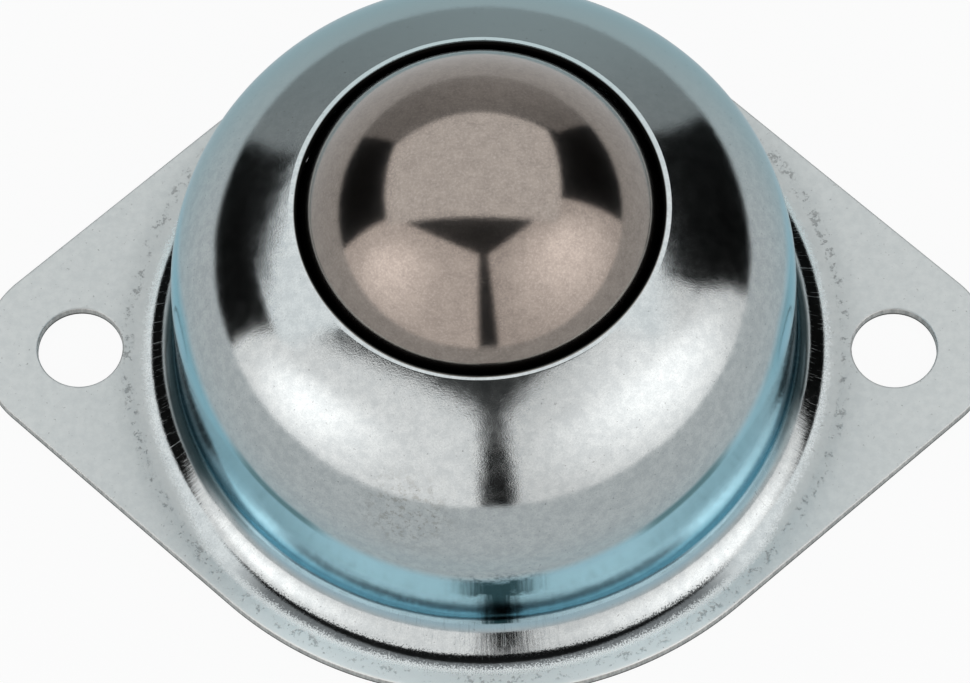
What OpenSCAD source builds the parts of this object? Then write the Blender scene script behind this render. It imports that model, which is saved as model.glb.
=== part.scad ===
// Ball transfer unit for a conveyor table: a pressed housing with a two-hole
// diamond flange, a hardened cup, a bed of load balls and one main ball.
// Millimetres. The origin is the centre of the mounting face, under the flange.
// +X runs through the two fixing holes and +Z points up through the main ball.

/* [Balls] */
// Diameter of the main ball that carries the goods
ball_d = 25.4; // [24:0.1:28]
// Diameter of each small load ball
load_ball_d = 3.175; // [2.8:0.025:3.6]
// Running clearance on either side of a load ball
run_gap = 0.04; // [0.02:0.01:0.08]
// Smallest space between two neighbouring load balls
ball_gap = 0.03; // [0.02:0.01:0.1]

/* [Cup] */
// Wall of the hardened cup
cup_wall = 1.5; // [1:0.1:2.2]
// Height of the cup's lowest point over the mounting face
cup_lift = 0.01; // [0:0.01:0.5]
// Depth of the cup's rim below the centre of the main ball
rim_drop = 1.6; // [1.2:0.1:3]
// Bend radius under the cup's turned-out rim
rim_bend_r = 1; // [0.5:0.1:1.6]
// Clearance between the cup's rim and the housing it is pressed into
seat_gap = 0.01; // [0.01:0.01:0.05]
// Least height of race left above the contact of the outermost load balls
race_margin = 1; // [0.6:0.1:1.6]

/* [Housing] */
// Thickness of the housing's sheet
sheet_t = 0.75; // [0.6:0.05:1.2]
// Radial room between the cup and the outer edge of the foot's bend
foot_room = 6.745; // [6:0.005:8]
// Outer radius of the concave bend where the wall meets the flange
foot_bend_r = 3.1; // [2:0.1:4]
// Inward lean of the drawn side wall, in degrees
wall_draft = 1.3; // [0.5:0.1:3]
// Radius of the shoulder between the side wall and the cone above it
shoulder_r = 11.2; // [8:0.1:12.5]
// Slope angle of the straight cone above the shoulder, in degrees
crown_angle = 61; // [56:1:66]
// Height of the mouth's lip over the centre of the main ball
lip_rise = 4.9; // [4.5:0.1:5.4]
// Clearance between the lip and the main ball
lip_gap = 0.3; // [0.2:0.02:0.8]

/* [Flange] */
// Flat land between the foot's bend and the round sides of the flange
side_land = 1.2; // [0.8:0.1:4]
// Diameter of the fixing holes
hole_d = 5.8; // [4.5:0.1:6.5]
// Flat land between the foot's bend and the edge of a fixing hole
hole_land = 0.68; // [0.4:0.01:3]
// Metal left around a fixing hole at the flange's tip
tip_land = 3.8; // [3:0.1:6]
// Rolled-over radius on the upper edge of the sheared outline and holes
edge_roll = 0.15; // [0.05:0.01:0.25]

/* [Hidden] */
$fn = 96;
// Facets on a load ball when it is previewed
LOAD_BALL_FN = 32;
// How far shapes of one piece run into each other so that they join
JOIN = 0.2;
// Tangent lines and curves meet this much below the tangent, so that they cross
TUCK = 0.002;
// Angle by which a curve runs on past its tangent lines, in degrees
RUN_ON = 4;
// Rings of load balls whose balls each have a node of their own
SINGLE_RINGS = 2;
// Turn of each ring past the one inside it, in steps of its own balls
RING_TURN = 0.53;

// Radii about the main ball's centre: race, outside of the cup, load ball track
race_r = ball_d / 2 + load_ball_d + 2 * run_gap;
cup_r = race_r + cup_wall;
track_r = ball_d / 2 + run_gap + load_ball_d / 2;
centre_z = cup_lift + cup_r;
rim_z = centre_z - rim_drop;

// Edge of the foot's bend on the flange, and the centre of that bend
foot_r = cup_r + foot_room;
foot_c = [foot_r, sheet_t + foot_bend_r];

// Mouth: the lip clears the ball by lip_gap at the lip's own height
mouth_r = sqrt(pow(ball_d / 2, 2) - pow(lip_rise, 2)) + lip_gap;
lip_c = [mouth_r + sheet_t / 2, centre_z + lip_rise];

// Flange outline: a disc and two tip discs, joined by their common tangents
flange_r = foot_r + side_land;
hole_x = foot_r + hole_land + hole_d / 2;
tip_r = hole_d / 2 + tip_land;
tangent_angle = acos((flange_r - tip_r) / hole_x);
tangent_len = sqrt(pow(hole_x, 2) - pow(flange_r - tip_r, 2));

// Section of the dome, as [radius, height]. A slope angle is measured from the
// radial direction to the surface's outward normal.
function dir(a) = [cos(a), sin(a)];
function along(a) = [-sin(a), cos(a)];
wall_foot = foot_c - foot_bend_r * dir(wall_draft);
crown_end = lip_c + sheet_t / 2 * dir(crown_angle);
// The shoulder is tangent to the wall's line and to the cone's line, so its
// centre lies one radius inside both.
wall_in = wall_foot - shoulder_r * dir(wall_draft);
crown_in = crown_end - shoulder_r * dir(crown_angle);
wall_len = cross(crown_in - wall_in, along(crown_angle))
    / cross(along(wall_draft), along(crown_angle));
shoulder_c = wall_in + wall_len * along(wall_draft);

// Corners of the dome's section, a distance inset inside its outer skin
function skin(inset) = [
    wall_foot - inset * dir(wall_draft),
    shoulder_c + (shoulder_r - inset - TUCK) * dir(wall_draft),
    shoulder_c + (shoulder_r - inset - TUCK) * dir(crown_angle),
    crown_end - inset * dir(crown_angle)];
function reversed(list) = [for (i = [len(list) - 1:-1:0]) list[i]];

// Load balls lie in rings about the centre ball. The first ring of six just
// closes round it, and every later ring is one more step up the race.
ring_step = asin((load_ball_d + ball_gap) / track_r);
ring_total = floor(acos((rim_drop + race_margin) / race_r) / ring_step);
function ring_r(ring) = track_r * sin(ring * ring_step);
function ring_z(ring) = centre_z - track_r * cos(ring * ring_step);
// The small addition keeps a ring that fits exactly from losing a ball to rounding
function ring_count(ring) =
    floor(180 / asin((load_ball_d + ball_gap) / 2 / ring_r(ring)) + 0.001);
function ball_name(ring, i) = str("ring", ring, "_ball_", i + 1);
function ring_name(ring) = str("ring", ring, "_balls");

// The part of a circle that stands out past the chord between two angles, with
// both ends of the curve run on
module arc_bulge(c, r, a0, a1) {
    out = dir((a0 + a1) / 2);
    p0 = c + r * dir(a0 - RUN_ON);
    p1 = c + r * dir(a1 + RUN_ON);
    intersection() {
        translate(c)
            circle(r = r);
        polygon([p0 - JOIN * out, p0 + r * out, p1 + r * out, p1 - JOIN * out]);
    }
}

// The shoulder's curve, a distance inset inside the outer skin
module shoulder_bulge(inset) {
    arc_bulge(shoulder_c, shoulder_r - inset, wall_draft, crown_angle);
}

// The curve of the foot's bend at a radius about the bend's centre
module foot_bulge(r) {
    arc_bulge(foot_c - TUCK * [1, 1], r, 180 + wall_draft, 270);
}

// Section of the drawn sheet: a strip of the flange, the bend at the foot, the
// wall, the shoulder, the cone and the rounded lip
module dome_section() {
    strip = [side_land / 2, 0];
    flange_top = [foot_r, sheet_t];
    flange_under = [foot_r, 0];
    intersection() {
        difference() {
            union() {
                polygon(concat(
                    [flange_top + strip, flange_top], skin(0),
                    reversed(skin(sheet_t)), [flange_under, flange_under + strip]));
                shoulder_bulge(0);
                foot_bulge(foot_bend_r + sheet_t);
            }
            shoulder_bulge(sheet_t);
            foot_bulge(foot_bend_r);
        }
        square([flange_r, crown_end.y + sheet_t]);
    }
    translate(lip_c)
        circle(r = sheet_t / 2 + TUCK);
}

// Section of sheet that ends at x = 0 in a sheared edge with its top rolled over
module edge_section(width) {
    translate([-width, 0])
        square([width, sheet_t - edge_roll]);
    translate([-width, 0])
        square([width - edge_roll, sheet_t]);
    translate([-edge_roll, sheet_t - edge_roll])
        circle(r = edge_roll);
}

module sheared_disc(r) {
    cylinder(r = r - 2 * edge_roll, h = sheet_t);
    rotate_extrude()
        translate([r, 0])
            edge_section(4 * edge_roll);
}

// One straight side of the flange, with the sheet behind it
module straight_side() {
    rotate(tangent_angle)
        translate([flange_r - TUCK, 0, 0])
            rotate([90, 0, 0])
                linear_extrude(tangent_len)
                    edge_section(tip_r - edge_roll);
    linear_extrude(sheet_t)
        polygon([
            [0, 0],
            (flange_r - JOIN) * dir(tangent_angle),
            [hole_x, 0] + (tip_r - JOIN) * dir(tangent_angle),
            [hole_x, 0]]);
}

// Tool for a pierced hole, whose upper edge is rolled over like the outline
module pierced_hole() {
    translate([0, 0, -JOIN])
        cylinder(d = hole_d, h = sheet_t + 2 * JOIN);
    rotate_extrude()
        translate([0, sheet_t - edge_roll])
            difference() {
                square([hole_d / 2 + edge_roll, edge_roll + JOIN]);
                translate([hole_d / 2 + edge_roll, 0])
                    circle(r = edge_roll);
            }
}

module flange() {
    difference() {
        union() {
            sheared_disc(flange_r);
            for (side = [0, 1])
                mirror([side, 0, 0]) {
                    translate([hole_x, 0, 0])
                        sheared_disc(tip_r);
                    straight_side();
                    mirror([0, 1, 0])
                        straight_side();
                }
        }
        translate([0, 0, -JOIN])
            cylinder(r = foot_r + JOIN, h = sheet_t + 2 * JOIN);
        for (side = [-1, 1])
            translate([side * hole_x, 0, 0])
                pierced_hole();
    }
}

// One drawn piece of sheet: diamond flange, side wall, shoulder and lip
module housing() {
    color([0.72, 0.74, 0.75]) {
        flange();
        rotate_extrude()
            dome_section();
    }
}

// Space inside the housing's wall, kept clear of the sheet by the seat's clearance
module inside_section() {
    inset = sheet_t + seat_gap;
    polygon(concat([[0, wall_foot.y]], skin(inset), [[0, crown_end.y]]));
    shoulder_bulge(inset);
}

// Sheet that fills the bend between the cup's ball and its rim
module rim_bend_section() {
    rim_under = rim_z - cup_wall;
    drop = centre_z - rim_under + rim_bend_r;
    bend_c = [sqrt(pow(cup_r + rim_bend_r, 2) - pow(drop, 2)), centre_z - drop];
    inner_c = [0, centre_z] + race_r / (cup_r + rim_bend_r) * (bend_c - [0, centre_z]);
    difference() {
        polygon([
            inner_c,
            bend_c,
            [bend_c.x, rim_under + JOIN],
            [inner_c.x, rim_under + JOIN]]);
        translate(bend_c)
            circle(r = rim_bend_r + TUCK);
    }
}

// Hardened cup: a hemispherical race with its rim turned out to the housing
module ball_cup() {
    color([0.45, 0.46, 0.48])
        rotate_extrude()
            difference() {
                union() {
                    intersection() {
                        translate([0, centre_z])
                            circle(r = cup_r);
                        square([cup_r, rim_z]);
                    }
                    intersection() {
                        inside_section();
                        translate([0, rim_z - cup_wall])
                            square([foot_r, cup_wall]);
                    }
                    rim_bend_section();
                }
                translate([0, centre_z])
                    circle(r = race_r);
            }
}

module main_ball() {
    color([0.66, 0.62, 0.58])
        translate([0, 0, centre_z])
            sphere(d = ball_d);
}

// One load ball of a ring, counted from 0. Ring 0 is the single centre ball.
module load_ball(ring, i) {
    step = ring == 0 ? 0 : 360 / ring_count(ring);
    color([0.8, 0.8, 0.82])
        rotate(step * (i + ring * RING_TURN))
            translate([ring_r(ring), 0, ring_z(ring)])
                sphere(d = load_ball_d, $fn = LOAD_BALL_FN);
}

housing();
ball_cup();
main_ball();
load_ball(0, 0);  // centre_load_ball
for (ring = [1:SINGLE_RINGS])
    for (i = [0:ring_count(ring) - 1])
        load_ball(ring, i);
for (ring = [SINGLE_RINGS + 1:ring_total])
    for (i = [0:ring_count(ring) - 1]) load_ball(ring, i);
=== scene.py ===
"""Ball transfer unit in a small studio.

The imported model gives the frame. The pressed housing and the main ball are
modelled again here in finer form, in metres, at the CAD's own sizes. The cup and
the load balls keep their CAD solids and get worked steel finishes.
"""
import math

import bpy
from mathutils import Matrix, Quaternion, Vector


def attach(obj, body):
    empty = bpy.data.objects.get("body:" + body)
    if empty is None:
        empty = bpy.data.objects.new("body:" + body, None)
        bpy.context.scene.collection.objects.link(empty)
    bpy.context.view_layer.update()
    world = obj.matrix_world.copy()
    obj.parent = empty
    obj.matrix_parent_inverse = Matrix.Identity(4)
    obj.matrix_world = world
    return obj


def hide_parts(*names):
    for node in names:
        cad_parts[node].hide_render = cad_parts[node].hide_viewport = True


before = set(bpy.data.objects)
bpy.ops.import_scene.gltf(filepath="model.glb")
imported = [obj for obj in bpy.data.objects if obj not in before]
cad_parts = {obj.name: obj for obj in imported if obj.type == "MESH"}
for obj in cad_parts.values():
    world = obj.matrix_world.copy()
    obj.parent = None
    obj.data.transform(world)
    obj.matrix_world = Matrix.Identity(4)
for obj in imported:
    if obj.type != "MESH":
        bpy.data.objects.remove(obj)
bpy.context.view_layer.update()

MM = 0.001

# Sizes of the unit, in millimetres, as in the part's own source
BALL_R = 12.7
CENTRE_Z = 17.465
SHEET = 0.75
FOOT_R = 24.2
FOOT_BEND_R = 3.1
WALL_DRAFT = math.radians(1.3)
SHOULDER_R = 11.2
CROWN_ANGLE = math.radians(61)
LIP_RISE = 4.9
LIP_GAP = 0.3
FLANGE_R = 25.4
HOLE_X = 27.78
HOLE_R = 2.9
TIP_R = 6.7
EDGE_ROLL = 0.15

# The spun foot and the flat flange join on the first circle. What lies past the
# second one belongs to the flange alone.
SEAM_R = FOOT_R + 0.1
PAST_SEAM_R = SEAM_R + 0.03

# How finely curves are divided
TURN_STEPS = 288
FOOT_STEPS = 12
SHOULDER_STEPS = 28
LIP_STEPS = 14
SIDE_STEPS = 96
TIP_STEPS = 48
HOLE_STEPS = 96
EDGE_STEPS = 4
BALL_CUTS = 59

# Working distances in millimetres
MERGE = 0.002
NEAR = 0.01
EDGE_INSET = 0.2

# A face is upright if its normal rises less than this, and an edge is sharp past this
UPRIGHT = 0.1
SHARP = math.radians(30)


# --- Modelling as by hand ----------------------------------------------------

def deselect_all():
    if bpy.context.mode != "OBJECT":
        bpy.ops.object.mode_set(mode="OBJECT")
    bpy.ops.object.select_all(action="DESELECT")


def new_piece(name):
    """Names the object just added, puts its place into its mesh and opens it."""
    piece = bpy.context.object
    piece.name = piece.data.name = name
    bpy.ops.object.transform_apply(location=True, rotation=True, scale=True)
    bpy.ops.object.mode_set(mode="EDIT")
    return piece


def pick(piece, kind, test, also=lambda item: True):
    """Selects edges or faces with every corner passing the test, in millimetres."""
    group = {"EDGE": "edges", "FACE": "polygons"}[kind]
    bpy.ops.object.mode_set(mode="OBJECT")
    good = [test(v.co / MM) for v in piece.data.vertices]
    keep = [item.index for item in getattr(piece.data, group)
            if all(good[i] for i in item.vertices) and also(item)]
    bpy.ops.object.mode_set(mode="EDIT")
    bpy.ops.mesh.select_mode(type=kind)
    bpy.ops.mesh.select_all(action="DESELECT")
    bpy.ops.object.mode_set(mode="OBJECT")
    items = getattr(piece.data, group)
    for i in keep:
        items[i].select = True
    bpy.ops.object.mode_set(mode="EDIT")


def open_edges(piece):
    """A test for edges that border just one face or none."""
    bpy.ops.object.mode_set(mode="OBJECT")
    borders = {}
    for face in piece.data.polygons:
        for key in face.edge_keys:
            borders[key] = borders.get(key, 0) + 1
    return lambda edge: borders.get(edge.key, 0) < 2


def heading(a):
    return Vector((math.cos(a), math.sin(a)))


class Line:
    """A chain of edges drawn from one vertex in the plane of two axes."""

    def __init__(self, start, across, up):
        self.across, self.up, self.at = Vector(across), Vector(up), Vector(start)

    def place(self, p):
        return (self.across * p[0] + self.up * p[1]) * MM

    def to(self, p):
        step = self.place(Vector(p) - self.at)
        bpy.ops.mesh.extrude_region_move(TRANSFORM_OT_translate={"value": step})
        self.at = Vector(p)

    def turn(self, centre, angle, steps):
        """Runs on round a centre; a positive angle turns from across to up."""
        centre = Vector(centre)
        bpy.ops.mesh.spin(steps=steps, angle=angle, center=self.place(centre),
                          axis=self.up.cross(self.across))
        arm = self.at - centre
        self.at = centre + Vector((
            arm.x * math.cos(angle) - arm.y * math.sin(angle),
            arm.x * math.sin(angle) + arm.y * math.cos(angle)))


def first_vertex(name, place):
    """A new piece that is one vertex, from which lines are drawn."""
    deselect_all()
    bpy.ops.mesh.primitive_plane_add(size=MM, location=place)
    piece = new_piece(name)
    bpy.ops.mesh.select_all(action="SELECT")
    bpy.ops.mesh.merge(type="CENTER")
    bpy.ops.mesh.select_mode(type="VERT")
    bpy.ops.mesh.select_all(action="SELECT")
    return piece


def merge_doubles():
    bpy.ops.mesh.select_all(action="SELECT")
    bpy.ops.mesh.remove_doubles(threshold=MERGE * MM)


# --- The pressed housing -----------------------------------------------------

def shoulder_centre(wall_foot, crown_end):
    """The centre about which the shoulder bends smoothly from wall to crown."""
    up_wall = Vector((-math.sin(WALL_DRAFT), math.cos(WALL_DRAFT)))
    up_crown = Vector((-math.sin(CROWN_ANGLE), math.cos(CROWN_ANGLE)))
    wall_in = wall_foot - SHOULDER_R * heading(WALL_DRAFT)
    crown_in = crown_end - SHOULDER_R * heading(CROWN_ANGLE)
    gap = crown_in - wall_in
    reach = ((gap.x * up_crown.y - gap.y * up_crown.x)
             / (up_wall.x * up_crown.y - up_wall.y * up_crown.x))
    return wall_in + reach * up_wall


def spin_dome():
    """The sheet's section spun round the axis: foot bend, wall, shoulder and lip."""
    foot_c = Vector((FOOT_R, SHEET + FOOT_BEND_R))
    wall_foot = foot_c - FOOT_BEND_R * heading(WALL_DRAFT)
    lip_c = Vector((math.sqrt(BALL_R ** 2 - LIP_RISE ** 2) + LIP_GAP + SHEET / 2,
                    CENTRE_Z + LIP_RISE))
    crown_end = lip_c + SHEET / 2 * heading(CROWN_ANGLE)
    shoulder_c = shoulder_centre(wall_foot, crown_end)
    foot_turn = math.pi / 2 - WALL_DRAFT
    shoulder_turn = CROWN_ANGLE - WALL_DRAFT

    start = Vector((SEAM_R, SHEET))
    piece = first_vertex("pressed_housing", Vector((start.x, 0, start.y)) * MM)
    line = Line(start, (1, 0, 0), (0, 0, 1))
    line.to((FOOT_R, SHEET))
    line.turn(foot_c, -foot_turn, FOOT_STEPS)
    line.to(shoulder_c + SHOULDER_R * heading(WALL_DRAFT))
    line.turn(shoulder_c, shoulder_turn, SHOULDER_STEPS)
    line.to(crown_end)
    line.turn(lip_c, math.pi, LIP_STEPS)
    line.to(shoulder_c + (SHOULDER_R - SHEET) * heading(CROWN_ANGLE))
    line.turn(shoulder_c, -shoulder_turn, SHOULDER_STEPS)
    line.to(wall_foot - SHEET * heading(WALL_DRAFT))
    line.turn(foot_c, foot_turn, FOOT_STEPS)
    line.to((SEAM_R, 0))
    bpy.ops.mesh.select_all(action="SELECT")
    bpy.ops.mesh.spin(steps=TURN_STEPS, angle=2 * math.pi, center=(0, 0, 0), axis=(0, 0, 1))
    merge_doubles()
    bpy.ops.object.mode_set(mode="OBJECT")
    return piece


def draw_outline():
    """The flange's outline and its two holes, drawn on the mounting face."""
    lean = math.acos((FLANGE_R - TIP_R) / HOLE_X)
    start = FLANGE_R * heading(lean)
    outline = first_vertex("flange_outline", Vector((*start, 0)) * MM)
    line = Line(start, (1, 0, 0), (0, 1, 0))
    for hole_x, facing in ((-HOLE_X, math.pi), (HOLE_X, 0)):
        tip = Vector((hole_x, 0))
        line.turn((0, 0), math.pi - 2 * lean, SIDE_STEPS)
        line.to(tip + TIP_R * heading(facing - lean))
        line.turn(tip, 2 * lean, TIP_STEPS)
        line.to(FLANGE_R * heading(facing + lean))
    merge_doubles()
    for hole_x in (-HOLE_X, HOLE_X):
        bpy.ops.mesh.primitive_circle_add(
            vertices=HOLE_STEPS, radius=HOLE_R * MM, location=(hole_x * MM, 0, 0))
    bpy.ops.object.mode_set(mode="OBJECT")
    return outline


def in_flange(p):
    return math.hypot(p.x, p.y) > SEAM_R - NEAR


def past_seam(p):
    return math.hypot(p.x, p.y) > PAST_SEAM_R


def flange_underside(p):
    return in_flange(p) and p.z < NEAR


def flange_top(p):
    return in_flange(p) and abs(p.z - SHEET) < NEAR


def fill_flange(piece):
    """Closes the flange between its foot and its outline, at the sheet's thickness."""
    pick(piece, "EDGE", flange_underside, open_edges(piece))
    bpy.ops.mesh.fill(use_beauty=True)
    pick(piece, "EDGE", lambda p: flange_underside(p) and past_seam(p), open_edges(piece))
    bpy.ops.mesh.extrude_edges_move(TRANSFORM_OT_translate={"value": (0, 0, SHEET * MM)})
    pick(piece, "EDGE", flange_top, open_edges(piece))
    bpy.ops.mesh.fill(use_beauty=True)
    pick(piece, "FACE", flange_top)
    bpy.ops.mesh.inset(thickness=EDGE_INSET * MM, use_boundary=True, use_even_offset=True)
    bpy.ops.mesh.select_all(action="SELECT")
    bpy.ops.mesh.normals_make_consistent(inside=False)
    bpy.ops.object.mode_set(mode="OBJECT")


def roll_sheared_edges(piece):
    """Rounds the upper edges of the outline and the holes, as the press does."""
    corners = piece.data.vertices
    sheared = {key for face in piece.data.polygons if abs(face.normal.z) < UPRIGHT
               and all(in_flange(corners[i].co / MM) for i in face.vertices)
               for key in face.edge_keys}
    pick(piece, "EDGE", lambda p: flange_top(p) and past_seam(p),
         lambda edge: edge.key in sheared)
    bpy.ops.mesh.bevel(offset=EDGE_ROLL * MM, segments=EDGE_STEPS, affect="EDGES")
    bpy.ops.object.mode_set(mode="OBJECT")


def press_housing():
    """The drawn sheet: dome, foot bend and diamond flange with two pierced holes."""
    piece = spin_dome()
    outline = draw_outline()
    deselect_all()
    outline.select_set(True)
    piece.select_set(True)
    bpy.context.view_layer.objects.active = piece
    bpy.ops.object.join()
    fill_flange(piece)
    roll_sheared_edges(piece)
    bpy.ops.object.shade_smooth_by_angle(angle=SHARP)
    return piece


# --- The main ball -----------------------------------------------------------

def grind_ball():
    """The main ball: a block cut into small squares and rounded to its radius."""
    deselect_all()
    bpy.ops.mesh.primitive_cube_add(size=BALL_R * MM, location=(0, 0, 0))
    piece = bpy.context.object
    bpy.ops.object.mode_set(mode="EDIT")
    bpy.ops.mesh.select_all(action="SELECT")
    bpy.ops.mesh.subdivide(number_cuts=BALL_CUTS)
    bpy.ops.object.mode_set(mode="OBJECT")
    round_off = piece.modifiers.new("Round", "CAST")
    round_off.factor = 1
    round_off.use_radius_as_size = False
    round_off.size = BALL_R * MM
    bpy.ops.object.modifier_apply(modifier="Round")
    piece.location.z = CENTRE_Z * MM
    piece = new_piece("ground_ball")
    bpy.ops.object.mode_set(mode="OBJECT")
    bpy.ops.object.shade_smooth()
    return piece


# --- What all finishes share -------------------------------------------------

def dress(piece, material):
    piece.data.materials.clear()
    piece.data.materials.append(material)


class Finish:
    """A metal finish built from nodes. Lengths are read in millimetres."""

    def __init__(self, name):
        self.material = bpy.data.materials.new(name)
        self.material.use_nodes = True
        self.tree = self.material.node_tree
        self.tree.nodes.clear()
        self.out = self.tree.nodes.new("ShaderNodeOutputMaterial")
        place = self.node("ShaderNodeTexCoord").outputs["Object"]
        self.p = self.vector("SCALE", place, scale=1 / MM)
        split = self.node("ShaderNodeSeparateXYZ", {0: self.p})
        self.x, self.y, self.z = split.outputs
        flat = self.vector("MULTIPLY", self.p, (1, 1, 0))
        self.r = self.vector("LENGTH", flat, out="Value")
        self.round = self.vector("NORMALIZE", flat)

    def node(self, kind, values=None, **settings):
        made = self.tree.nodes.new(kind)
        for key, value in settings.items():
            setattr(made, key, value)
        for key, value in (values or {}).items():
            if isinstance(value, bpy.types.NodeSocket):
                self.tree.links.new(value, made.inputs[key])
            else:
                made.inputs[key].default_value = value
        return made

    def vector(self, operation, a, b=None, scale=None, out="Vector"):
        values = {0: a}
        if b is not None:
            values[1] = b
        if scale is not None:
            values["Scale"] = scale
        return self.node("ShaderNodeVectorMath", values, operation=operation).outputs[out]

    def join(self, x=0.0, y=0.0, z=0.0):
        return self.node("ShaderNodeCombineXYZ", {0: x, 1: y, 2: z}).outputs[0]

    def math(self, operation, a, b=0.0):
        return self.node("ShaderNodeMath", {0: a, 1: b}, operation=operation).outputs[0]

    def plus(self, a, b):
        return self.math("ADD", a, b)

    def less(self, a, b):
        return self.math("SUBTRACT", a, b)

    def times(self, a, b):
        return self.math("MULTIPLY", a, b)

    def larger(self, a, b):
        return self.math("MAXIMUM", a, b)

    def size(self, a):
        return self.math("ABSOLUTE", a)

    def fade(self, value, start, end, low=0.0, high=1.0):
        """Runs smoothly from low to high as the value goes from start to end."""
        return self.node("ShaderNodeMapRange", {
            "Value": value, "From Min": start, "From Max": end, "To Min": low,
            "To Max": high}, interpolation_type="SMOOTHSTEP").outputs[0]

    def band(self, value, start, full, full_end, end):
        """One between full and full_end, and nought outside start and end."""
        return self.times(self.fade(value, start, full), self.fade(value, full_end, end, 1, 0))

    def noise(self, where, scale, detail=2.0, rough=0.5, warp=0.0):
        return self.node("ShaderNodeTexNoise", {
            "Vector": where, "Scale": scale, "Detail": detail, "Roughness": rough,
            "Distortion": warp}).outputs[0]

    def mix(self, amount, a, b):
        mixed = self.node("ShaderNodeMix", {0: amount}, data_type="RGBA")
        for socket, value in ((mixed.inputs[6], a), (mixed.inputs[7], b)):
            if isinstance(value, bpy.types.NodeSocket):
                self.tree.links.new(value, socket)
            else:
                socket.default_value = (*value, 1)
        return mixed.outputs[2]

    def bump(self, height, depth, under=None):
        """Raises the surface by depth millimetres at height one."""
        values = {"Height": height, "Strength": 1.0, "Distance": depth * MM}
        if under is not None:
            values["Normal"] = under
        return self.node("ShaderNodeBump", values).outputs[0]

    def metal(self, colour, roughness, normal, **fixed):
        values = {"Base Color": colour, "Roughness": roughness, "Metallic": 1.0,
                  "Normal": normal}
        values.update(fixed)
        shader = self.node("ShaderNodeBsdfPrincipled", values)
        self.tree.links.new(shader.outputs[0], self.out.inputs[0])
        return self.material


# --- Zinc on the housing -----------------------------------------------------

# Bare zinc on the dome, from its darker to its lighter clouds, and its shades
DOME_ZINC = (0.535, 0.58, 0.592), (0.63, 0.675, 0.682)
DOME_GRAIN = (0.38, 0.41, 0.42)
REAR_ZINC = (0.42, 0.525, 0.545)
FLANGE_ZINC = (0.56, 0.595, 0.597), (0.635, 0.668, 0.665)
# Painted light: the front of the flange is painted lighter
FLANGE_FRONT_PAINTED_LIGHT = (0.84, 0.88, 0.875)
# Painted shade on the flange beside the foot
FLANGE_PAINTED_SHADE = (0.24, 0.27, 0.275)

# The zinc's blue tint at the front of the wall and at its sides, with a painted reflection of the
# flange and the dark surroundings in it
UPPER_BLUE_AND_REFLECTION = (0.48, 0.76, 0.87), (0.38, 0.68, 0.80)
LOWER_BLUE_AND_REFLECTION = (0.20, 0.52, 0.68), (0.02, 0.13, 0.19)
FOOT_BLUE_AND_REFLECTION = (0.47, 0.64, 0.72), (0.22, 0.28, 0.30)

# Marks, with painted dark reflections and painted shade among them
# Painted reflections: a dark line along the blue's upper edge, and a dark T down the front
FLANGE_EDGE_REFLECTION = (0.08, 0.19, 0.20)
DARK_T_REFLECTION = (0.015, 0.05, 0.06)
# Painted shade in the hollow of each flank and at the bend's root
HOLLOW_SHADE = (0.02, 0.05, 0.06)
ROOT_SHADE = (0.02, 0.025, 0.03)
DRAWN_HAIR = (0.10, 0.14, 0.16)
SCUFFED = (0.30, 0.30, 0.27)
PITTED = (0.12, 0.12, 0.12)
CUT_STEEL = (0.42, 0.42, 0.41), (0.62, 0.62, 0.60)
BURR = (0.075, 0.065, 0.055)
# Painted shade inside the lip
MOUTH_SHADE = (0.010, 0.010, 0.010)

# Where the painted dark T down the front and the scuffed patch are, in millimetres
T_REFLECTION_X = 1.1
SCUFF_AT = (-4.6, -18.2, 15.8)

# Zinc reflects a little blue even at a glancing angle
GLANCING_TINT = (0.74, 0.91, 0.97, 1)


class ZincFinish(Finish):
    """The zinc's patterns, and where the parts of the sheet begin and end."""

    def __init__(self, name):
        super().__init__(name)
        self.set_patterns()
        self.set_zones()

    def set_patterns(self):
        self.cloud = self.noise(self.p, scale=0.12, detail=3, rough=0.55)
        self.mottle = self.noise(self.p, scale=1.4, detail=5, rough=0.65)
        self.grain = self.noise(self.p, scale=9.0, detail=3, rough=0.6)
        broad = self.vector("SCALE", self.round, scale=1.3)
        self.patch = self.noise(broad, scale=1.0, detail=2, rough=0.5)
        # drawing marks run up the wall, so they vary round it and hardly with height
        around = self.vector("SCALE", self.round, scale=70.0)
        drawn = self.vector("ADD", around, self.join(z=self.times(self.z, 0.10)))
        self.streak = self.noise(drawn, scale=1.6, detail=5, rough=0.7)
        self.hairs = self.noise(drawn, scale=4.5, detail=3, rough=0.8)

    def set_zones(self):
        # nought at the very front and 2 at the back; the right flank starts later
        self.front = self.plus(1.0, self.math("DIVIDE", self.y, self.r))
        self.flank = self.less(self.front, self.fade(self.x, -8.0, 8.0, 0, 0.28))

        # the flange starts at an uneven edge, and further in away from the front
        self.edge = self.plus(self.r, self.fade(self.grain, 0.2, 0.8, -0.30, 0.30))
        reach = self.plus(self.edge, self.fade(self.front, 0.34, 0.55, 0, 0.6))
        self.on_flange = self.fade(reach, 23.6, 24.3)
        self.in_bowl = self.less(1.0, self.on_flange)
        self.on_wall = self.times(self.fade(self.z, 6.0, 11.0, 1, 0), self.in_bowl)
        self.on_bend = self.times(self.fade(self.z, 3.5, 2.5), self.in_bowl)
        self.at_front = self.times(self.fade(self.y, -15.0, -17.0), self.in_bowl)
        self.in_mouth = self.times(self.fade(self.r, 12.27, 12.17), self.fade(self.z, 20.0, 21.0))

        # height over the blue band's upper line, the painted edge of the flange's reflection,
        # which climbs towards the back
        climb = self.times(self.math("POWER", self.larger(self.front, 0.0), 0.7), 7.3)
        top = self.plus(self.math("MINIMUM", climb, 6.0), 9.9)
        self.over_blue_line = self.plus(self.less(self.z, top), self.times(self.patch, 0.8))

        # a row of pits where the sheet ran over the edge of the drawing die
        row = self.times(self.band(self.r, 24.0, 24.3, 24.7, 25.1), self.fade(self.z, 0.9, 0.8))
        tangled = self.noise(self.p, scale=1.9, detail=4, rough=0.75)
        self.pits = self.times(row, self.fade(tangled, 0.54, 0.64))


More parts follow.
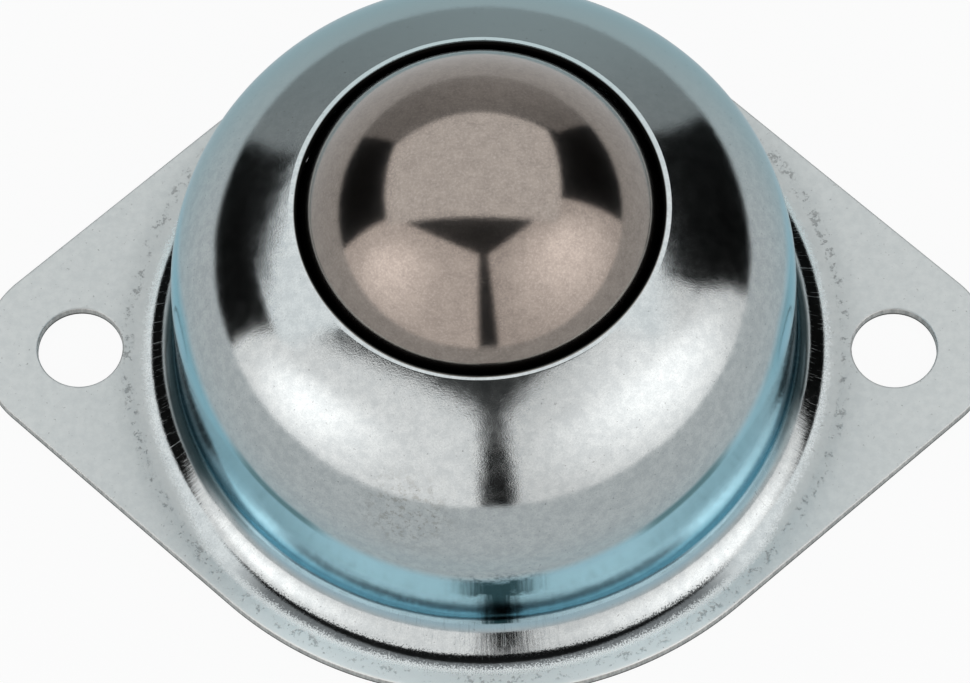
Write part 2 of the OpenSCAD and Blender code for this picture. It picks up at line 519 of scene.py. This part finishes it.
def bare_zinc(f):
    """Bright zinc on the dome and wall, and a duller, paler one on the flange, with painted light
    at its front and painted shade by the foot.
    """
    dome = f.mix(f.fade(f.mottle, 0.35, 0.65), *DOME_ZINC)
    dome = f.mix(f.fade(f.grain, 0.35, 0.65, 0, 0.26), dome, DOME_GRAIN)
    dome = f.mix(f.fade(f.y, -2.0, 16.0), dome, REAR_ZINC)
    flange = f.mix(f.fade(f.mottle, 0.3, 0.7), *FLANGE_ZINC)
    # painted light: the flange is painted lighter towards the front, for the light that falls
    # there
    flange = f.mix(f.fade(f.y, -17.0, -23.5), flange, FLANGE_FRONT_PAINTED_LIGHT)
    # painted shade: the flange is painted darker beside the foot of the dome, away from the front
    painted_shade_by_foot = f.times(f.fade(f.r, 26.2, 24.2), f.fade(f.y, -21.0, -14.0))
    flange = f.mix(f.times(painted_shade_by_foot, 0.2), flange, FLANGE_PAINTED_SHADE)
    return f.mix(f.on_flange, dome, flange)


def blue_tint_and_painted_reflection(f, colour):
    """The zinc is tinted blue up the wall, with a painted reflection of the flange in it: light
    above, deeper below and pale at the foot.
    """
    cover = f.times(f.fade(f.over_blue_line, -1.0, 0.6, 1, 0), f.fade(f.r, 21.7, 21.35))
    cover = f.times(cover, f.fade(f.front, 0.9, 1.35, 0.95, 0.35))
    sides = f.fade(f.flank, 0.28, 0.42)
    # painted reflection: the deeper band and the near black sides stand for the flange and the
    # dark surroundings mirrored in the wall
    lower = f.mix(sides, *LOWER_BLUE_AND_REFLECTION)
    upper = f.mix(sides, *UPPER_BLUE_AND_REFLECTION)
    height = f.less(f.z, f.fade(f.flank, 0.30, 0.60, 0, 5.0))
    film = f.mix(f.fade(height, 6.0, 4.2), upper, lower)
    foot = f.mix(sides, *FOOT_BLUE_AND_REFLECTION)
    film = f.mix(f.fade(f.z, 3.5, 3.1), film, foot)
    return f.mix(cover, colour, film)


def painted_dark_reflections(f, colour):
    """Painted dark reflections: a line along the blue's upper edge, and a T down the front."""
    # painted reflection of the flange's edge, as a dark line along the blue's upper edge
    edge_reflection = f.times(f.band(f.over_blue_line, -1.2, -0.6, -0.2, 0.5),
                   f.band(f.front, 0.11, 0.18, 0.30, 0.42))
    # painted reflection of the dark between the lamps, mirrored by the flange into the wall, as a
    # dark T down the front
    aside = f.size(f.less(f.x, T_REFLECTION_X))
    aside = f.plus(aside, f.fade(f.streak, 0.3, 0.7, -0.35, 0.35))
    level = f.plus(f.z, f.fade(f.mottle, 0.3, 0.7, -0.5, 0.5))
    head = f.times(f.band(level, 6.4, 7.6, 8.9, 10.3), f.fade(aside, 3.8, 0.7))
    stem = f.times(f.band(f.z, 2.7, 2.9, 8.0, 9.0), f.fade(aside, 1.6, 0.4))
    run = f.times(f.larger(head, stem), f.at_front)
    colour = f.mix(f.times(edge_reflection, 0.85), colour, FLANGE_EDGE_REFLECTION)
    return f.mix(run, colour, DARK_T_REFLECTION)


def painted_shade_low(f, colour):
    """Painted shade low down: in the hollow of each flank, and at the bend's root."""
    # painted shade in the hollow of each flank
    hollow = f.times(f.band(f.r, 21.1, 21.3, 21.75, 22.0), f.fade(f.flank, 0.40, 0.56))
    hollow = f.times(hollow, f.fade(f.front, 1.5, 1.2, 0, 0.85))
    colour = f.mix(hollow, colour, HOLLOW_SHADE)
    # painted shade along the bend's root at the front
    root = f.times(f.band(f.edge, 22.8, 22.95, 23.45, 23.9), f.fade(f.front, 0.34, 0.20))
    return f.mix(f.times(root, 0.8), colour, ROOT_SHADE)


def drawn_hairs(f, colour):
    """Fine dark hairs up the front of the bend, left by drawing."""
    where = f.times(f.band(f.z, 1.3, 1.6, 5.0, 8.0), f.fade(f.size(f.x), 8.0, 2.0))
    where = f.times(where, f.at_front)
    return f.mix(f.times(where, f.fade(f.hairs, 0.56, 0.68, 0, 0.55)), colour, DRAWN_HAIR)


def scuffs(f, colour):
    """A scuffed patch on the front of the shoulder."""
    where = f.fade(f.vector("DISTANCE", f.p, SCUFF_AT, out="Value"), 4.4, 1.2)
    rubbed = f.noise(f.p, scale=2.4, detail=5, rough=0.75)
    worn = f.times(where, f.fade(rubbed, 0.50, 0.60))
    return f.mix(f.times(worn, 0.55), colour, SCUFFED)


def pits_and_specks(f, colour):
    """The row of pits, and small dark specks all over."""
    sparse = f.noise(f.p, scale=4.5, detail=2, rough=0.5)
    specks = f.fade(sparse, 0.68, 0.78, 0, 0.5)
    return f.mix(f.larger(f.times(f.pits, 0.45), specks), colour, PITTED)


def edges_and_mouth(f, colour):
    """Sheared edges, burnished with a dark burr below, and painted shade inside the lip."""
    facing = f.node("ShaderNodeNewGeometry").outputs["Normal"]
    level = f.size(f.node("ShaderNodeSeparateXYZ", {0: facing}).outputs[2])
    torn = f.noise(f.vector("MULTIPLY", f.p, (3.0, 3.0, 0.4)), scale=1.3, detail=4, rough=0.7)
    sheared = f.times(f.fade(level, 0.80, 0.60), f.fade(f.z, 0.80, 0.76))
    sheared = f.times(sheared, f.fade(f.r, 24.6, 24.8))
    burr = f.times(sheared, f.fade(f.z, 0.24, 0.10))
    colour = f.mix(sheared, colour, f.mix(f.fade(torn, 0.35, 0.65), *CUT_STEEL))
    colour = f.mix(burr, colour, BURR)
    # painted shade: the inside of the lip is painted near black
    return f.mix(f.in_mouth, colour, MOUTH_SHADE)


def zinc_roughness(f):
    """Smooth on the dome, smoother in streaks up the wall, matt on the flange."""
    rough = f.plus(f.fade(f.mottle, 0.3, 0.7, 0.085, 0.12), f.times(f.on_flange, 0.34))
    rough = f.plus(rough, f.times(f.on_wall, f.fade(f.streak, 0.35, 0.65, -0.045, -0.01)))
    # die lines dull the bend, except where it was pressed bright beside the front
    lines = f.larger(f.fade(f.front, 0.10, 0.03), f.fade(f.front, 0.34, 0.50))
    lines = f.times(f.fade(f.hairs, 0.59, 0.68, 0, 0.34), lines)
    above_root = f.larger(f.fade(f.front, 0.20, 0.34), f.fade(f.z, 1.25, 1.4))
    lines = f.times(lines, above_root)
    rough = f.plus(rough, f.times(f.on_bend, lines))
    return f.plus(rough, f.times(f.in_mouth, 0.3))


def zinc_relief(f):
    """Low waves in the sheet, then its grain, its drawing marks and its pits."""
    waves = f.bump(f.cloud, 0.05)
    grain = f.bump(f.grain, 0.003, waves)
    marks = f.times(f.streak, f.fade(f.z, 6.0, 12.0, 1, 0.08))
    return f.bump(f.pits, -0.015, f.bump(marks, 0.006, grain))


def zinc_finish():
    """Pale blue zinc on drawn steel: bright dome and wall, duller flange."""
    f = ZincFinish("passivated_zinc")
    colour = bare_zinc(f)
    for layer in (blue_tint_and_painted_reflection, painted_dark_reflections, painted_shade_low, drawn_hairs, scuffs, pits_and_specks,
                  edges_and_mouth):
        colour = layer(f, colour)
    shine = f.less(1.0, f.times(f.on_flange, 0.3))
    glancing = {"Specular Tint": GLANCING_TINT}
    return f.metal(colour, zinc_roughness(f), zinc_relief(f), Metallic=shine, **glancing)


# --- Steel of the ball, the cup and the load balls ---------------------------

BALL_STEEL = (0.258, 0.218, 0.190), (0.330, 0.283, 0.247)
BALL_GRAIN = (0.44, 0.385, 0.345)
BALL_SCRATCH = (0.12, 0.10, 0.09)
CUP_STEEL = (0.10, 0.10, 0.105), (0.20, 0.20, 0.205)
BEARING_STEEL = (0.52, 0.52, 0.53), (0.62, 0.62, 0.63)
OIL_FILM = {"Coat Weight": 0.9, "Coat Roughness": 0.22, "Coat IOR": 1.5}


def ball_finish():
    """Ground ball steel gone warm with use, finely scratched, under a film of oil."""
    f = Finish("ball_steel")
    mottle = f.noise(f.p, scale=1.1, detail=6, rough=0.7)
    grain = f.noise(f.p, scale=6.0, detail=5, rough=0.7)
    lengthwise = f.vector("MULTIPLY", f.p, (0.35, 2.6, 1.4))
    scratch = f.noise(lengthwise, scale=2.4, detail=5, rough=0.75, warp=0.6)
    colour = f.mix(f.fade(mottle, 0.3, 0.7), *BALL_STEEL)
    colour = f.mix(f.fade(grain, 0.42, 0.70, 0, 0.55), colour, BALL_GRAIN)
    colour = f.mix(f.fade(scratch, 0.58, 0.72, 0, 0.42), colour, BALL_SCRATCH)
    rough = f.plus(f.fade(mottle, 0.3, 0.7, 0.075, 0.105),
                   f.fade(scratch, 0.5, 0.7, 0.0, 0.04))
    relief = f.bump(scratch, 0.0014, f.bump(grain, 0.0016))
    return f.metal(colour, rough, relief, **OIL_FILM)


def cup_finish():
    """Hardened cup: dark oiled steel with turning marks round its axis."""
    f = Finish("hardened_cup_steel")
    mottle = f.noise(f.p, scale=1.6, detail=4, rough=0.6)
    turned = f.noise(f.join(x=f.r, y=f.z), scale=6.0, detail=3, rough=0.6)
    colour = f.mix(f.fade(mottle, 0.3, 0.7), *CUP_STEEL)
    rough = f.fade(turned, 0.3, 0.7, 0.26, 0.4)
    return f.metal(colour, rough, f.bump(turned, 0.004))


def load_ball_finish():
    """Bright ground bearing balls with a trace of oil."""
    f = Finish("bearing_ball_steel")
    film = f.noise(f.p, scale=0.9, detail=4, rough=0.6)
    colour = f.mix(f.fade(film, 0.35, 0.65), *BEARING_STEEL)
    rough = f.fade(film, 0.35, 0.65, 0.07, 0.16)
    return f.metal(colour, rough, f.bump(f.noise(f.p, scale=12.0), 0.0006))


# --- Studio, in metres -------------------------------------------------------

WHITE = (1, 1, 1)
WARM = (1, 0.965, 0.95)
BLACK_CLOTH = (0.03, 0.03, 0.03)
DARK_CEILING = (0.16, 0.16, 0.16)
PAPER = (0.505, 0.53, 0.54, 1)
ROOM_GREY = (0.5, 0.5, 0.5, 1)
ROOM_SEEN = (0.8, 0.8, 0.8, 1)
SCREENS = 8
FLOOR_SIZE = 8
FLOOR_Z = -0.05 * MM


def matt_paint(name, colour):
    """Paint of a card that isn't lit."""
    paint = bpy.data.materials.new(name)
    paint.use_nodes = True
    tree = paint.node_tree
    tree.nodes.clear()
    shader = tree.nodes.new("ShaderNodeBsdfDiffuse")
    shader.inputs["Color"].default_value = (*colour, 1)
    out = tree.nodes.new("ShaderNodeOutputMaterial")
    tree.links.new(shader.outputs[0], out.inputs[0])
    return paint


def light_paint(name, colour, glow, middle=None, fall=1.0, gain=0.0):
    """A lit panel, brighter by gain at its middle, which fades over the fall."""
    paint = bpy.data.materials.new(name)
    paint.use_nodes = True
    tree = paint.node_tree
    tree.nodes.clear()
    shader = tree.nodes.new("ShaderNodeEmission")
    shader.inputs["Color"].default_value = (*colour, 1)
    shader.inputs["Strength"].default_value = glow
    if gain:
        place = tree.nodes.new("ShaderNodeTexCoord")
        away = tree.nodes.new("ShaderNodeVectorMath")
        away.operation = "DISTANCE"
        away.inputs[1].default_value = middle
        spread = tree.nodes.new("ShaderNodeMapRange")
        spread.interpolation_type = "SMOOTHSTEP"
        for key, value in (("From Min", 0.0), ("From Max", fall),
                           ("To Min", glow * (1 + gain)), ("To Max", glow)):
            spread.inputs[key].default_value = value
        tree.links.new(place.outputs["Object"], away.inputs[0])
        tree.links.new(away.outputs["Value"], spread.inputs["Value"])
        tree.links.new(spread.outputs[0], shader.inputs["Strength"])
    out = tree.nodes.new("ShaderNodeOutputMaterial")
    tree.links.new(shader.outputs[0], out.inputs[0])
    return paint


def card(name, width, height, centre, rotation, paint):
    """A flat card, which shows in reflections and lights the unit but isn't seen."""
    deselect_all()
    bpy.ops.mesh.primitive_plane_add(size=1, location=centre)
    flat = bpy.context.object
    flat.name = name
    flat.scale = (width, height, 1)
    flat.rotation_euler = rotation
    bpy.ops.object.transform_apply(location=True, rotation=True, scale=True)
    dress(flat, paint)
    flat.visible_camera = False


def overhead_card(name, width, height, centre, paint):
    card(name, width, height, centre, (math.pi, 0, 0), paint)


def upright_card(name, azimuth, distance, start, end, height, paint):
    """An upright card square to an azimuth, from start to end along its width."""
    a = math.radians(azimuth)
    out, side = heading(a), heading(a + math.pi / 2)
    middle = out * distance + side * (start + end) / 2
    card(name, end - start, height, (middle.x, middle.y, height / 2),
         (math.pi / 2, 0, a + math.pi / 2), paint)


def hang_lights():
    """A panel overhead, one at each side of the front, and a dimmer wall behind."""
    overhead_card("top_panel", width=1.554, height=1.05,
                  centre=(-0.123, 0.405, CENTRE_Z * MM + 0.6),
                  paint=light_paint("top_light", WHITE, glow=1.07))
    left = light_paint("left_light", WARM, glow=1.07,
                       middle=(-0.54, -0.30, 0.29), fall=0.42, gain=0.68)
    upright_card("left_panel", azimuth=245, distance=0.5,
                 start=-0.92, end=0.223, height=0.85, paint=left)
    right = light_paint("right_light", WARM, glow=0.92,
                        middle=(0.50, -0.22, 0.34), fall=0.54, gain=0.88)
    upright_card("right_panel", azimuth=-50, distance=0.484,
                 start=-0.291, end=0.80, height=0.86, paint=right)
    behind = light_paint("back_wall_light", WHITE, glow=0.31,
                         middle=(0.1, 0.95, 0.0), fall=0.8, gain=0.4)
    upright_card("back_wall", azimuth=100, distance=0.95,
                 start=-1.093, end=0.69, height=0.66, paint=behind)


def hang_screens():
    """Black cloth all round and a dark ceiling, for the metal to reflect."""
    black = matt_paint("black_cloth", BLACK_CLOTH)
    for k in range(SCREENS):
        upright_card(f"black_screen_{k}", azimuth=360 / SCREENS * k, distance=1.7,
                     start=-0.72, end=0.72, height=1.5, paint=black)
    overhead_card("dark_ceiling", width=3.6, height=3.6, centre=(0, 0, 1.5),
                  paint=matt_paint("dark_ceiling", DARK_CEILING))


def seen_directly(tree, to_camera, to_mirror):
    """A share for what the camera sees, and one for mirrored or passing rays."""
    rays = tree.nodes.new("ShaderNodeLightPath")
    seen = None
    for name, share in (("Is Camera Ray", to_camera), ("Is Glossy Ray", to_mirror),
                        ("Is Transmission Ray", to_mirror)):
        scaled = tree.nodes.new("ShaderNodeMath")
        scaled.operation = "MULTIPLY"
        scaled.inputs[1].default_value = share
        tree.links.new(rays.outputs[name], scaled.inputs[0])
        if seen is None:
            seen = scaled.outputs[0]
            continue
        more = tree.nodes.new("ShaderNodeMath")
        more.operation = "MAXIMUM"
        tree.links.new(seen, more.inputs[0])
        tree.links.new(scaled.outputs[0], more.inputs[1])
        seen = more.outputs[0]
    return seen


def show_directly(tree, output, shader, shown, to_camera, to_mirror):
    """Ends a tree in its shader, with another for the share that is seen directly."""
    out = tree.nodes.new(output)
    blend = tree.nodes.new("ShaderNodeMixShader")
    tree.links.new(seen_directly(tree, to_camera, to_mirror), blend.inputs[0])
    tree.links.new(shader.outputs[0], blend.inputs[1])
    tree.links.new(shown.outputs[0], blend.inputs[2])
    tree.links.new(blend.outputs[0], out.inputs[0])


def lay_floor():
    """A pale paper floor just under the mounting face."""
    deselect_all()
    bpy.ops.mesh.primitive_plane_add(size=FLOOR_SIZE, location=(0, 0, FLOOR_Z))
    floor = bpy.context.object
    floor.name = "pale_floor"
    bpy.ops.object.transform_apply(location=True, rotation=True, scale=True)
    paper = bpy.data.materials.new("white_paper")
    paper.use_nodes = True
    tree = paper.node_tree
    tree.nodes.clear()
    matt = tree.nodes.new("ShaderNodeBsdfDiffuse")
    matt.inputs["Color"].default_value = PAPER
    white = tree.nodes.new("ShaderNodeEmission")
    show_directly(tree, "ShaderNodeOutputMaterial", matt, white, to_camera=0.94, to_mirror=0.30)
    dress(floor, paper)


def fill_room():
    """Even grey light from the room, which looks paler where it is seen."""
    world = bpy.data.worlds.new("studio")
    bpy.context.scene.world = world
    world.use_nodes = True
    tree = world.node_tree
    tree.nodes.clear()
    room = tree.nodes.new("ShaderNodeBackground")
    room.inputs["Color"].default_value = ROOM_GREY
    pale = tree.nodes.new("ShaderNodeBackground")
    pale.inputs["Color"].default_value = ROOM_SEEN
    show_directly(tree, "ShaderNodeOutputWorld", room, pale, to_camera=1, to_mirror=1)


def place_camera():
    """A long lens above the front, which looks at a point on the mounting face."""
    azimuth = math.radians(3.0158)
    elevation = math.radians(65.0513)
    roll = math.radians(-2.7046)
    target = Vector((-0.136, 0.815, 0))
    distance = 496.31
    back = Vector((math.sin(azimuth) * math.cos(elevation),
                   -math.cos(azimuth) * math.cos(elevation), math.sin(elevation)))
    lens = bpy.data.cameras.new("studio_camera")
    camera = bpy.data.objects.new("studio_camera", lens)
    bpy.context.scene.collection.objects.link(camera)
    camera.location = target * MM + back * distance * MM
    camera.rotation_mode = "QUATERNION"
    camera.rotation_quaternion = (
        (-back).to_track_quat("-Z", "Y") @ Quaternion((0, 0, 1), roll))
    lens.lens = 269.43
    lens.sensor_width = 36
    lens.clip_start = 0.01
    lens.clip_end = 20
    bpy.context.scene.camera = camera


# --- Making the unit ---------------------------------------------------------

place_camera()
hang_lights()
hang_screens()
lay_floor()
fill_room()

housing = press_housing()
dress(housing, zinc_finish())
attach(housing, "base")
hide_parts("housing")

ball = grind_ball()
dress(ball, ball_finish())
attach(ball, "ball")
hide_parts("main_ball")

cup_steel = cup_finish()
bearing_steel = load_ball_finish()
for name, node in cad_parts.items():
    if name == "ball_cup":
        dress(node, cup_steel)
    elif "_ball" in name and name != "main_ball":
        dress(node, bearing_steel)

deselect_all()
bpy.context.scene.view_settings.view_transform = "Standard"
